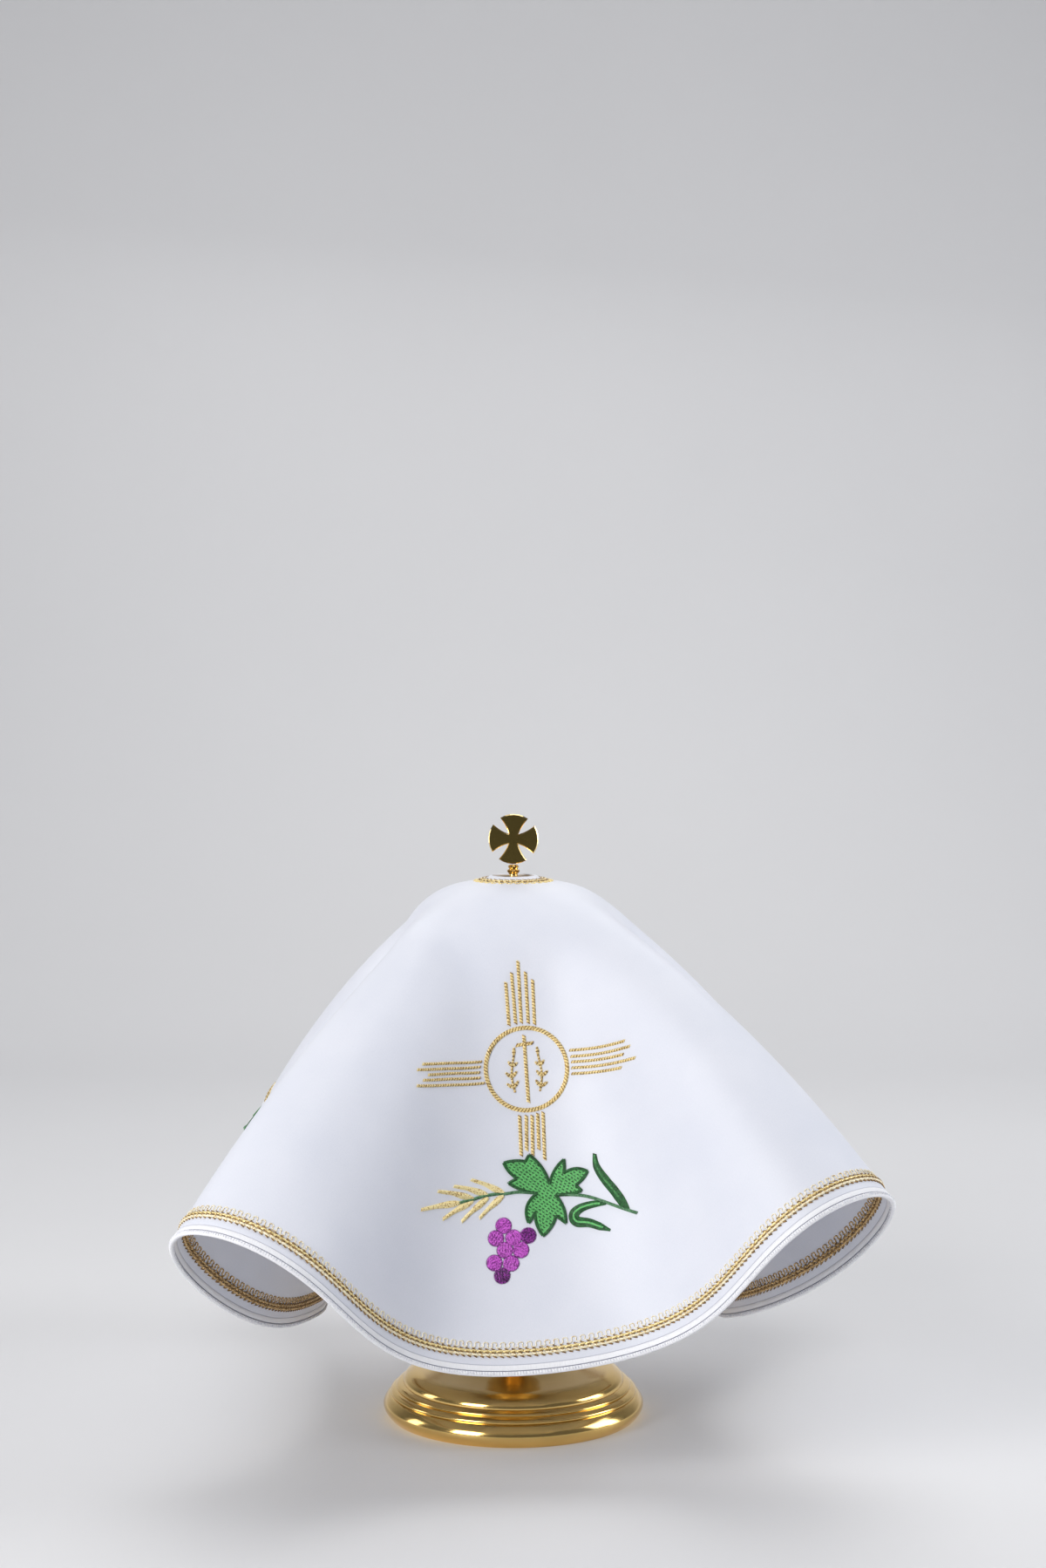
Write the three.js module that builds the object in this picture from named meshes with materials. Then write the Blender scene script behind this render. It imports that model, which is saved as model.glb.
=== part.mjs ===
// Ciborium veil: a round satin cloth with a neck hole, draped over a covered brass ciborium.
// Units are millimetres, +Z is up, the front is -Y. The origin is the centre of the foot's
// flat underside.
import * as THREE from 'three';

// Veil, as cut
const VEIL_RADIUS = 269;
const VEIL_THICKNESS = 1.2;
const NECK_HOLE_RADIUS = 10.6;
const COLLAR_FOOT_RADIUS = 15;
const COLLAR_RISE = 2;

// Veil, as draped
const CROWN_TOP = 269;
const CROWN_RADIUS = 146;
const SHOULDER_REACH = 51;
const SHOULDER_EASE = 27;
const VEIL_SPOKES = 96;
const VEIL_RINGS = [13, 15, 18, 24, 32, 41, 50, 59, 68, 78, 90, 106, 126, 148, 172, 198, 224, 248];

// Hem of the drape: one row for every 15 degrees of the flat cloth, turned from the right side
// towards the back. turn is how far the cloth swings round on its way down, reach and height
// place the hem, and belly is how far the cloth bows outward half way down.
const FOLDS = [
  { place: 'right valley', turn: -1, reach: 103, height: 51, belly: 5 },
  { place: 'right valley, back flank', turn: 10, reach: 138, height: 66, belly: 7 },
  { place: 'back right lobe, side', turn: 5, reach: 194, height: 96, belly: 10 },
  { place: 'back right lobe, crest', turn: 2, reach: 227, height: 131, belly: 9 },
  { place: 'back right lobe, inner side', turn: 2, reach: 212, height: 118, belly: 10 },
  { place: 'back valley, right flank', turn: -7, reach: 165, height: 74, belly: 4 },
  { place: 'back valley', turn: -2, reach: 130, height: 59, belly: 1 },
  { place: 'back valley, left flank', turn: 3, reach: 168, height: 76, belly: 4 },
  { place: 'back left lobe, inner side', turn: -6, reach: 217, height: 124, belly: 11 },
  { place: 'back left lobe, crest', turn: -6, reach: 222, height: 130, belly: 9 },
  { place: 'back left lobe, side', turn: -16, reach: 183, height: 84, belly: 8 },
  { place: 'left valley, back flank', turn: -22, reach: 130, height: 57, belly: 6 },
  { place: 'left valley', turn: -8, reach: 97, height: 50, belly: 5 },
  { place: 'left valley, front side', turn: 11, reach: 116, height: 57, belly: 3 },
  { place: 'front left lobe, side', turn: 11, reach: 174, height: 79, belly: 3 },
  { place: 'front left lobe, crest', turn: 2, reach: 220, height: 122, belly: 8 },
  { place: 'front left lobe, inner side', turn: 2, reach: 209, height: 115, belly: 8 },
  { place: 'front valley, left flank', turn: -4, reach: 165, height: 70, belly: 2 },
  { place: 'front valley', turn: 4, reach: 141, height: 57, belly: -3 },
  { place: 'front valley, right flank', turn: 12, reach: 168, height: 76, belly: -1 },
  { place: 'front right lobe, inner side', turn: 2, reach: 217, height: 123, belly: 6 },
  { place: 'front right lobe, crest', turn: 0, reach: 232, height: 142, belly: 10 },
  { place: 'front right lobe, side', turn: -8, reach: 194, height: 101, belly: 5 },
  { place: 'right valley, front side', turn: -16, reach: 134, height: 67, belly: 2 },
];

// Ciborium
const SEAT_GAP = 0.3;
const FOOT_TOP = 45;
const KNOP_BOTTOM = 79;
const KNOP_TOP = 103;
const CUP_BOTTOM = 142;
const CUP_RIM = 230;
const CUP_WALL = 1.6;
const LID_TOP = CROWN_TOP - VEIL_THICKNESS / 2 - SEAT_GAP;
const LID_WALL = 3;
const FINIAL_SEAT_RADIUS = 4;
const FINIAL_BOTTOM = LID_TOP - 0.1;
const FINIAL_TOP = 276.4;
const CROSS_RADIUS = 12.5;
const CROSS_CENTRE = FINIAL_TOP + SEAT_GAP + CROSS_RADIUS;
const CROSS_THICKNESS = 2.2;
const CROSS_BEVEL = 0.45;
const CROSS_LEAN = 2;

const TURNED_SEGMENTS = 40;
const SMALL_TURNED_SEGMENTS = 24;

const degrees = Math.PI / 180;

// Materials
const satin = new THREE.MeshStandardMaterial({ color: 0xe6e8f2, roughness: 0.62, metalness: 0 });
const gilt = new THREE.MeshStandardMaterial({ color: 0xd9a441, roughness: 0.16, metalness: 1 });

// Smooth value between the evenly spaced rows of the fold table, periodic round the cloth
function foldValue(column, angle) {
  const count = FOLDS.length;
  let total = 0;
  FOLDS.forEach((fold, row) => {
    let away = angle - (row * 2 * Math.PI) / count;
    away -= 2 * Math.PI * Math.round(away / (2 * Math.PI));
    const weight = Math.abs(away) < 1e-9 ? 1 : Math.sin((count * away) / 2) / Math.tan(away / 2) / count;
    total += weight * fold[column];
  });
  return total;
}

// Point on the crown of the lid, a given length of cloth away from the middle
function crownPoint(length, angle) {
  const slope = length / CROWN_RADIUS;
  const reach = CROWN_RADIUS * Math.sin(slope);
  const height = CROWN_TOP - CROWN_RADIUS * (1 - Math.cos(slope));
  return new THREE.Vector3(reach * Math.cos(angle), reach * Math.sin(angle), height);
}

// Point on the hanging part of the cloth, which bows out between the shoulder and the hem
function hangingPoint(length, angle, shoulderLength) {
  const turned = angle + foldValue('turn', angle) * degrees;
  const reach = foldValue('reach', angle);
  const height = foldValue('height', angle);
  const hem = new THREE.Vector3(reach * Math.cos(turned), reach * Math.sin(turned), height);
  const shoulder = crownPoint(shoulderLength, angle);
  const down = hem.clone().sub(shoulder).normalize();
  const out = new THREE.Vector3(Math.cos(turned), Math.sin(turned), 0);
  out.addScaledVector(down, -out.dot(down)).normalize();
  const part = (length - shoulderLength) / (VEIL_RADIUS - shoulderLength);
  const bow = 4 * foldValue('belly', angle) * part * (1 - part);
  return shoulder.lerp(hem, part).addScaledVector(out, bow);
}

// Middle of the cloth's thickness, a given length of cloth from the middle, at a given angle
function veilPoint(length, angle) {
  const shoulderLength = CROWN_RADIUS * Math.asin(SHOULDER_REACH / CROWN_RADIUS);
  const easeStart = shoulderLength - SHOULDER_EASE;
  const easeEnd = shoulderLength + SHOULDER_EASE;
  if (length <= easeStart) {
    const point = crownPoint(length, angle);
    const up = (COLLAR_FOOT_RADIUS - length) / (COLLAR_FOOT_RADIUS - NECK_HOLE_RADIUS);
    const rise = THREE.MathUtils.clamp(up, 0, 1);
    point.z += COLLAR_RISE * rise * rise * (3 - 2 * rise);
    return point;
  }
  if (length >= easeEnd) {
    return hangingPoint(length, angle, shoulderLength);
  }
  const from = crownPoint(easeStart, angle);
  const fromSlope = from.clone().sub(crownPoint(easeStart - 1, angle));
  const to = hangingPoint(easeEnd, angle, shoulderLength);
  const toSlope = hangingPoint(easeEnd + 1, angle, shoulderLength).sub(to);
  const t = (length - easeStart) / (2 * SHOULDER_EASE);
  const point = from.multiplyScalar(2 * t ** 3 - 3 * t ** 2 + 1);
  point.addScaledVector(fromSlope, 2 * SHOULDER_EASE * (t ** 3 - 2 * t ** 2 + t));
  point.addScaledVector(to, 3 * t ** 2 - 2 * t ** 3);
  point.addScaledVector(toSlope, 2 * SHOULDER_EASE * (t ** 3 - t ** 2));
  return point;
}

// Outward normal of the cloth from its own slope along and round
function veilNormal(length, angle) {
  const step = 0.5;
  const turn = step / length;
  const along = veilPoint(length + step, angle).sub(veilPoint(length - step, angle));
  const round = veilPoint(length, angle + turn).sub(veilPoint(length, angle - turn));
  return along.cross(round).normalize();
}

// The veil as one sheet: outer face, inner face, hem edge and neck edge
function veil() {
  const lengths = [NECK_HOLE_RADIUS, ...VEIL_RINGS, VEIL_RADIUS];
  const vertices = [];
  const faces = [];
  [VEIL_THICKNESS / 2, -VEIL_THICKNESS / 2].forEach((offset) => {
    lengths.forEach((length) => {
      for (let spoke = 0; spoke < VEIL_SPOKES; spoke += 1) {
        const angle = (spoke * 2 * Math.PI) / VEIL_SPOKES;
        const point = veilPoint(length, angle).addScaledVector(veilNormal(length, angle), offset);
        vertices.push(point.x, point.y, point.z);
      }
    });
  });
  const innerStart = lengths.length * VEIL_SPOKES;
  const at = (side, ring, spoke) => side * innerStart + ring * VEIL_SPOKES + (spoke % VEIL_SPOKES);
  const quad = (a, b, c, d) => faces.push(a, b, c, a, c, d);
  const last = lengths.length - 1;
  for (let spoke = 0; spoke < VEIL_SPOKES; spoke += 1) {
    for (let ring = 0; ring < last; ring += 1) {
      quad(at(0, ring, spoke), at(0, ring + 1, spoke), at(0, ring + 1, spoke + 1), at(0, ring, spoke + 1));
      quad(at(1, ring, spoke), at(1, ring, spoke + 1), at(1, ring + 1, spoke + 1), at(1, ring + 1, spoke));
    }
    quad(at(0, last, spoke), at(1, last, spoke), at(1, last, spoke + 1), at(0, last, spoke + 1));
    quad(at(0, 0, spoke), at(0, 0, spoke + 1), at(1, 0, spoke + 1), at(1, 0, spoke));
  }
  const geometry = new THREE.BufferGeometry();
  geometry.setAttribute('position', new THREE.Float32BufferAttribute(vertices, 3));
  geometry.setIndex(faces);
  geometry.computeVertexNormals();
  return geometry;
}

// A piece turned about the upright axis from pairs of radius and height, bottom to top
function turned(profile, segments = TURNED_SEGMENTS) {
  const points = profile.map(([radius, height]) => new THREE.Vector2(radius, height));
  return new THREE.LatheGeometry(points, segments).rotateX(Math.PI / 2);
}

// Points of a round moulding that swells out of a straight profile between two heights
function bead(bottomRadius, bottom, topRadius, top, swell, steps = 4) {
  const points = [];
  for (let step = 0; step <= steps; step += 1) {
    const part = step / steps;
    const radius = bottomRadius + (topRadius - bottomRadius) * part + swell * Math.sin(Math.PI * part);
    points.push([radius, bottom + (top - bottom) * part]);
  }
  return points;
}

function foot() {
  return turned([
    [0, 0],
    ...bead(62.4, 0, 62.6, 10.4, 2.9, 6),
    ...bead(61.6, 10.8, 60.2, 13.4, 0.9, 3),
    ...bead(58.8, 13.8, 57.2, 16, 0.9, 3),
    ...bead(55.6, 16.4, 50, 22.4, 1.6, 4),
    [47, 22.9],
    [40, 23.6],
    [31, 25],
    [25, 27.2],
    [20.6, 31.5],
    [17, 36.8],
    [14, FOOT_TOP],
    [0, FOOT_TOP],
  ]);
}

function lowerStem() {
  return turned([
    [0, FOOT_TOP + SEAT_GAP],
    [13.9, FOOT_TOP + SEAT_GAP],
    [11.4, 52.7],
    [9.6, 60.6],
    [8.3, 70],
    [8, KNOP_BOTTOM - SEAT_GAP],
    [0, KNOP_BOTTOM - SEAT_GAP],
  ], SMALL_TURNED_SEGMENTS);
}

function knop() {
  return turned([
    [0, KNOP_BOTTOM],
    ...bead(9.5, KNOP_BOTTOM, 9.5, 82.6, 1.6, 4),
    ...bead(8.8, 83, 8.8, 99, 8.4, 8),
    ...bead(9.5, 99.4, 9.5, KNOP_TOP, 1.6, 4),
    [0, KNOP_TOP],
  ], SMALL_TURNED_SEGMENTS);
}

function upperStem() {
  return turned([
    [0, KNOP_TOP + SEAT_GAP],
    [8, KNOP_TOP + SEAT_GAP],
    [7.2, 112],
    [7, 122],
    [7.8, 132],
    [11, CUP_BOTTOM - SEAT_GAP],
    [0, CUP_BOTTOM - SEAT_GAP],
  ], SMALL_TURNED_SEGMENTS);
}

// The cup's outer curve is a row of radius and height, and its inside follows a wall away
function cup() {
  const outside = [
    [12, CUP_BOTTOM],
    [25, 146],
    [35, 153],
    [42.5, 164],
    [47, 179],
    [49.6, 198],
    [50.6, 216],
    [51, CUP_RIM],
  ];
  const inside = outside
    .slice(1)
    .map(([radius, height]) => [radius - CUP_WALL, Math.min(height + CUP_WALL, CUP_RIM)])
    .reverse();
  const [, lowestInside] = inside[inside.length - 1];
  return turned([[0, CUP_BOTTOM], ...outside, ...inside, [0, lowestInside]]);
}

// The lid stands on the cup's rim and has a skirt that drops inside it
function lid() {
  const outerRadius = CROWN_RADIUS - VEIL_THICKNESS / 2 - SEAT_GAP;
  const domeAt = (radius, sink) => {
    const drop = outerRadius - Math.sqrt(outerRadius * outerRadius - radius * radius);
    return [radius, LID_TOP - drop - sink];
  };
  return turned([
    [0, LID_TOP - LID_WALL],
    domeAt(16, LID_WALL),
    domeAt(29, LID_WALL),
    [37, 258.4],
    [43, 252.8],
    [46.6, 246],
    [47.2, 240],
    [47.2, 224],
    [48.8, 224],
    [48.8, CUP_RIM + SEAT_GAP],
    [53.4, CUP_RIM + SEAT_GAP],
    ...bead(53.6, 231, 53.4, 234.4, 0.8, 4),
    [50.2, 235.2],
    [49.8, 241],
    [48.6, 247],
    [44.8, 253.9],
    [39.6, 259],
    domeAt(33, 1),
    domeAt(24, 0),
    domeAt(14, 0),
    domeAt(FINIAL_SEAT_RADIUS, 0),
    [FINIAL_SEAT_RADIUS, FINIAL_BOTTOM - SEAT_GAP],
    [0, FINIAL_BOTTOM - SEAT_GAP],
  ]);
}

function finial() {
  return turned([
    [0, FINIAL_BOTTOM],
    [3.6, FINIAL_BOTTOM],
    [3.4, 269],
    [2.2, 269.8],
    [2.1, 271.6],
    [2.5, 272],
    ...bead(2.5, 272.3, 2.2, 274.2, 0.9, 4),
    ...bead(2.1, 274.4, 1.7, FINIAL_TOP, 0.9, 4),
    [0, FINIAL_TOP],
  ], SMALL_TURNED_SEGMENTS);
}

// Cross pattee: four flared arms whose ends lie on one circle, on a short tenon
function cross() {
  const tipAngle = 34 * degrees;
  const waist = 2.4;
  const shape = new THREE.Shape();
  const rim = CROSS_RADIUS - CROSS_BEVEL;
  const inner = waist - CROSS_BEVEL;
  const flare = { x: 3.3 - CROSS_BEVEL, y: 6.2 };
  for (let arm = 0; arm < 4; arm += 1) {
    const turn = arm * 90 * degrees;
    const put = (x, y) => {
      const px = x * Math.cos(turn) - y * Math.sin(turn);
      const py = x * Math.sin(turn) + y * Math.cos(turn);
      return [px, py];
    };
    const tip = tipAngle - CROSS_BEVEL / rim;
    const start = put(inner, inner);
    if (arm === 0) {
      shape.moveTo(...start);
    } else {
      shape.lineTo(...start);
    }
    shape.quadraticCurveTo(...put(flare.x, flare.y), ...put(rim * Math.sin(tip), rim * Math.cos(tip)));
    const steps = 6;
    for (let step = 1; step <= steps; step += 1) {
      const angle = tip - (2 * tip * step) / steps;
      shape.lineTo(...put(rim * Math.sin(angle), rim * Math.cos(angle)));
    }
    shape.quadraticCurveTo(...put(-flare.x, flare.y), ...put(-inner, inner));
  }
  const geometry = new THREE.ExtrudeGeometry(shape, {
    depth: CROSS_THICKNESS - 2 * CROSS_BEVEL,
    bevelEnabled: true,
    bevelThickness: CROSS_BEVEL,
    bevelSize: CROSS_BEVEL,
    bevelSegments: 1,
    curveSegments: 6,
  });
  geometry.translate(0, 0, -CROSS_THICKNESS / 2 + CROSS_BEVEL);
  geometry.rotateX(Math.PI / 2);
  geometry.rotateY(CROSS_LEAN * degrees);
  geometry.translate(0, 0, CROSS_CENTRE);
  return geometry;
}

const pieces = [
  ['foot', foot(), gilt],
  ['lower_stem', lowerStem(), gilt],
  ['knop', knop(), gilt],
  ['upper_stem', upperStem(), gilt],
  ['cup', cup(), gilt],
  ['lid', lid(), gilt],
  ['finial', finial(), gilt],
  ['cross', cross(), gilt],
  ['veil', veil(), satin],
];

const object = new THREE.Group();
pieces.forEach(([name, geometry, material]) => {
  const mesh = new THREE.Mesh(geometry, material);
  mesh.name = name;
  object.add(mesh);
});

export default object;
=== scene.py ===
"""A round white satin veil with embroidered motifs, draped over a covered gilt ciborium. Sizes
are in millimetres until a piece is finished, and then its mesh is scaled to metres. +Z is up,
the front is -Y, and the origin is the centre of the foot's underside."""

import math

import bmesh
import bpy
import numpy as np
from mathutils import Matrix, Vector


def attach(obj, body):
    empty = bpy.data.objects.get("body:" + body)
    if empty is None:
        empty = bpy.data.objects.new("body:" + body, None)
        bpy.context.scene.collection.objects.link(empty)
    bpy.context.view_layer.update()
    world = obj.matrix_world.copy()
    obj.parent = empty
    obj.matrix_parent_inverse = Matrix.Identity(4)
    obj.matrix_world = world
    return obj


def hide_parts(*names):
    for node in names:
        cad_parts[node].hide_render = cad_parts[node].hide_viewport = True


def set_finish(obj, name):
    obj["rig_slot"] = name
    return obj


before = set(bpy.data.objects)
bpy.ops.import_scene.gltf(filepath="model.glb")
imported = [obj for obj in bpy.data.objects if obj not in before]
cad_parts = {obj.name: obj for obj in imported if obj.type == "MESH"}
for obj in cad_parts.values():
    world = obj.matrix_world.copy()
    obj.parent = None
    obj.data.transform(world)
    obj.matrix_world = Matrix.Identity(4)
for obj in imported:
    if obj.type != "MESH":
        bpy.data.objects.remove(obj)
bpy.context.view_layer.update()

MM = 0.001

# Veil, as cut
VEIL_RADIUS = 269
VEIL_THICKNESS = 1.2
NECK_HOLE_RADIUS = 10.6
COLLAR_FOOT_RADIUS = 15
COLLAR_RISE = 2
VEIL_SPOKES = 400
FIELD_STEP = 4.2
HEM_RIBS = 1500

# Veil, as draped
CROWN_TOP = 269
CROWN_RADIUS = 146
SHOULDER_RADIUS = 51
SHOULDER_LENGTH = CROWN_RADIUS * math.asin(SHOULDER_RADIUS / CROWN_RADIUS)
SHOULDER_EASE = 27

# Hem of the drape: one row for every 15 degrees of the flat cloth, turned from the right side
# towards the back. turn is in degrees, the rest in millimetres.
FOLDS = np.array([
    (-1, 103, 51, 5),
    (10, 138, 66, 7),
    (5, 194, 96, 10),
    (2, 227, 131, 9),
    (2, 212, 118, 10),
    (-7, 165, 74, 4),
    (-2, 130, 59, 1),
    (3, 168, 76, 4),
    (-6, 217, 124, 11),
    (-6, 222, 130, 9),
    (-16, 183, 84, 8),
    (-22, 130, 57, 6),
    (-8, 97, 50, 5),
    (11, 116, 57, 3),
    (11, 174, 79, 3),
    (2, 220, 122, 8),
    (2, 209, 115, 8),
    (-4, 165, 70, 2),
    (4, 141, 57, -3),
    (12, 168, 76, -1),
    (2, 217, 123, 6),
    (0, 232, 142, 10),
    (-8, 194, 101, 5),
    (-16, 134, 67, 2),
], dtype=[("turn", float), ("reach", float), ("height", float), ("belly", float)])

# Soft creases on the flat cloth: where each starts and ends, its half width, and how far it
# stands out, or sinks in where that is less than nothing
CREASES = np.array([
    ((-50, -24), (-55, -92), 9, 2.0),
    ((-38, -28), (-22, -100), 15, -4.0),
    ((44, -40), (60, -96), 16, -1.5),
    ((-86, -150), (-97, -222), 22, -1.6),
    ((70, -120), (92, -205), 20, -1.8),
    ((34, 46), (30, 110), 14, -2.2),
    ((-60, 30), (-104, 62), 15, -2.0),
], dtype=[("start", float, 2), ("end", float, 2), ("width", float), ("height", float)])

# Half the cloth's thickness over the rolled hem, by distance from the edge
HEM_SECTION = np.array([
    (0.0, 0.25),
    (0.2, 0.62),
    (0.7, 0.98),
    (1.2, 1.06),
    (1.8, 0.9),
    (2.05, 0.42),
    (2.35, 0.78),
    (3.3, 0.92),
    (4.3, 0.8),
    (4.8, 0.42),
    (5.4, 0.6),
], dtype=[("inward", float), ("half", float)])

OUTER_FACE = 1
INNER_FACE = -1

# Turns of the motif round the cloth, in degrees from the front
CROSS_TURNS = (0, 180)
SPRAY_TURNS = (0, -59.2, 180, 118.5)


# Shape of the draped cloth

def fold_values(angle):
    """turn, reach, height and belly at each angle, smooth between the rows of the fold table."""
    places = np.arange(len(FOLDS)) * 2 * math.pi / len(FOLDS)
    away = (angle[..., None] - places + math.pi) % (2 * math.pi) - math.pi
    away = np.where(np.abs(away) < 1e-9, 1e-9, away)
    weight = np.sin(len(FOLDS) * away / 2) / np.tan(away / 2) / len(FOLDS)
    return [weight @ FOLDS[column] for column in FOLDS.dtype.names]


def crown_point(length, angle):
    """Point on the crown of the lid, a given length of cloth away from the middle."""
    slope = length / CROWN_RADIUS + 0 * angle
    reach = CROWN_RADIUS * np.sin(slope)
    height = CROWN_TOP - CROWN_RADIUS * (1 - np.cos(slope))
    return np.stack([reach * np.cos(angle), reach * np.sin(angle), height], axis=-1)


def unit(vectors):
    return vectors / np.linalg.norm(vectors, axis=-1, keepdims=True)


def hanging_point(length, angle, folds):
    """Point on the hanging part of the cloth, which bows out between the shoulder and the hem."""
    turn, reach, height, belly = folds
    turned = angle + np.radians(turn)
    sideways = np.stack([np.cos(turned), np.sin(turned), 0 * turned], axis=-1)
    hem = sideways * reach[..., None]
    hem[..., 2] = height
    shoulder = crown_point(SHOULDER_LENGTH, angle)
    down = unit(hem - shoulder)
    out = unit(sideways - down * np.sum(sideways * down, axis=-1, keepdims=True))
    part = ((length - SHOULDER_LENGTH) / (VEIL_RADIUS - SHOULDER_LENGTH))[..., None]
    bow = 4 * belly[..., None] * part * (1 - part)
    return shoulder + (hem - shoulder) * part + out * bow


def middle_point(length, angle):
    """Middle of the cloth's thickness, a given length of cloth from the middle, at an angle."""
    folds = fold_values(angle)
    ease_start = SHOULDER_LENGTH - SHOULDER_EASE + 0 * length
    ease_end = SHOULDER_LENGTH + SHOULDER_EASE + 0 * length
    crown = crown_point(length, angle)
    up = (COLLAR_FOOT_RADIUS - length) / (COLLAR_FOOT_RADIUS - NECK_HOLE_RADIUS)
    rise = np.clip(up, 0, 1)
    crown[..., 2] += COLLAR_RISE * rise ** 2 * (3 - 2 * rise)
    start = crown_point(ease_start, angle)
    start_slope = start - crown_point(ease_start - 1, angle)
    end = hanging_point(ease_end, angle, folds)
    end_slope = hanging_point(ease_end + 1, angle, folds) - end
    t = ((length - ease_start) / (2 * SHOULDER_EASE))[..., None]
    ease = start * (2 * t ** 3 - 3 * t ** 2 + 1) + end * (3 * t ** 2 - 2 * t ** 3)
    ease += start_slope * 2 * SHOULDER_EASE * (t ** 3 - 2 * t ** 2 + t)
    ease += end_slope * 2 * SHOULDER_EASE * (t ** 3 - t ** 2)
    hanging = hanging_point(length, angle, folds)
    point = np.where((length <= ease_start)[..., None], crown, ease)
    return np.where((length >= ease_end)[..., None], hanging, point)


def crease_height(length, angle):
    """How far the soft creases lift the cloth at a place on it."""
    flat = np.stack([length * np.cos(angle), length * np.sin(angle)], axis=-1)
    total = 0 * length
    for crease in CREASES:
        run = crease["end"] - crease["start"]
        part = np.clip((flat - crease["start"]) @ run / (run @ run), 0, 1)
        away = np.linalg.norm(flat - crease["start"] - part[..., None] * run, axis=-1)
        fade = np.sin(math.pi * (0.12 + 0.76 * part))
        total += crease["height"] * fade * np.exp(-(away / crease["width"]) ** 2)
    return total


def half_thickness(length):
    inward = VEIL_RADIUS - length
    half = np.interp(inward, HEM_SECTION["inward"], HEM_SECTION["half"])
    neck = np.clip((length - NECK_HOLE_RADIUS) / 0.6, 0, 1)
    return half * (0.35 + 0.65 * np.sqrt(1 - (1 - neck) ** 2))


def surface_point(length, angle, offset):
    """Point a given offset out of the middle of the cloth, with its creases."""
    step = 0.5
    turn = step / length
    along = middle_point(length + step, angle) - middle_point(length - step, angle)
    round_ = middle_point(length, angle + turn) - middle_point(length, angle - turn)
    normal = unit(np.cross(along, round_))
    lift = offset + crease_height(length, angle)
    return middle_point(length, angle) + normal * lift[..., None]


def lay(flat, lift, face=OUTER_FACE):
    """Places of flat-cloth points once draped, lifted off one face of the cloth."""
    flat = np.asarray(flat, float)
    length = np.hypot(flat[..., 0], flat[..., 1])
    angle = np.arctan2(flat[..., 1], flat[..., 0])
    offset = face * (half_thickness(length) + np.asarray(lift, float) + 0 * length)
    return surface_point(length, angle, offset)


# Shader maths

class Wire:
    """A node's output, with the arithmetic that the finishes use."""

    def __init__(self, finish, socket):
        self.finish = finish
        self.socket = socket

    def combine(self, operation, *values):
        settings = {"operation": operation}
        return self.finish.node("ShaderNodeMath", settings, dict(enumerate(values)))

    def __add__(self, other):
        return self.combine("ADD", self, other)

    def __radd__(self, other):
        return self.combine("ADD", other, self)

    def __sub__(self, other):
        return self.combine("SUBTRACT", self, other)

    def __rsub__(self, other):
        return self.combine("SUBTRACT", other, self)

    def __mul__(self, other):
        return self.combine("MULTIPLY", self, other)

    def __rmul__(self, other):
        return self.combine("MULTIPLY", other, self)

    def sine(self):
        return self.combine("SINE", self)

    def above(self, edge, softness):
        """0 below the edge and 1 above it, with a soft step between."""
        settings = {"interpolation_type": "SMOOTHSTEP"}
        return self.finish.node("ShaderNodeMapRange", settings, {
            "Value": self, "From Min": edge - softness, "From Max": edge + softness})


class Finish:
    """A procedural material, built node by node on its shader."""

    def __init__(self, name, **constants):
        self.material = bpy.data.materials.new(name)
        self.material.use_nodes = True
        self.tree = self.material.node_tree
        self.shader = self.tree.nodes["Principled BSDF"]
        for socket, value in constants.items():
            self.feed(self.shader.inputs[socket.replace("_", " ")], value)

    def feed(self, socket, value):
        if isinstance(value, Wire):
            self.tree.links.new(value.socket, socket)
        elif isinstance(value, tuple) and socket.type == "RGBA":
            socket.default_value = (*value, 1)
        else:
            socket.default_value = value

    def node(self, kind, settings, values, output=0):
        """A node of a kind, with its settings made first and then its sockets fed."""
        made = self.tree.nodes.new(kind)
        for name, value in settings.items():
            setattr(made, name, value)
        for key, value in values.items():
            self.feed(made.inputs[key], value)
        return Wire(self, made.outputs[output])

    def place(self):
        return self.node("ShaderNodeTexCoord", {}, {}, "Object")

    def grain(self, vector, scale, detail, stretch=(1, 1, 1)):
        """Noise between 0 and 1 whose grains are about 1/scale of a metre, stretched by axis."""
        mapped = self.node("ShaderNodeMapping", {}, {"Vector": vector, "Scale": stretch})
        return self.node("ShaderNodeTexNoise", {}, {
            "Vector": mapped, "Scale": scale, "Detail": detail})

    def mix(self, factor, first, second):
        settings = {"data_type": "RGBA"}
        sockets = {"Factor": factor, 6: first, 7: second}
        return self.node("ShaderNodeMix", settings, sockets, 2)

    def wear(self, **links):
        for socket, value in links.items():
            self.feed(self.shader.inputs[socket.replace("_", " ")], value)

    def bump(self, height, distance, strength):
        normal = self.node("ShaderNodeBump", {}, {
            "Height": height, "Distance": distance, "Strength": strength})
        self.feed(self.shader.inputs["Normal"], normal)


# Finishes

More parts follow.
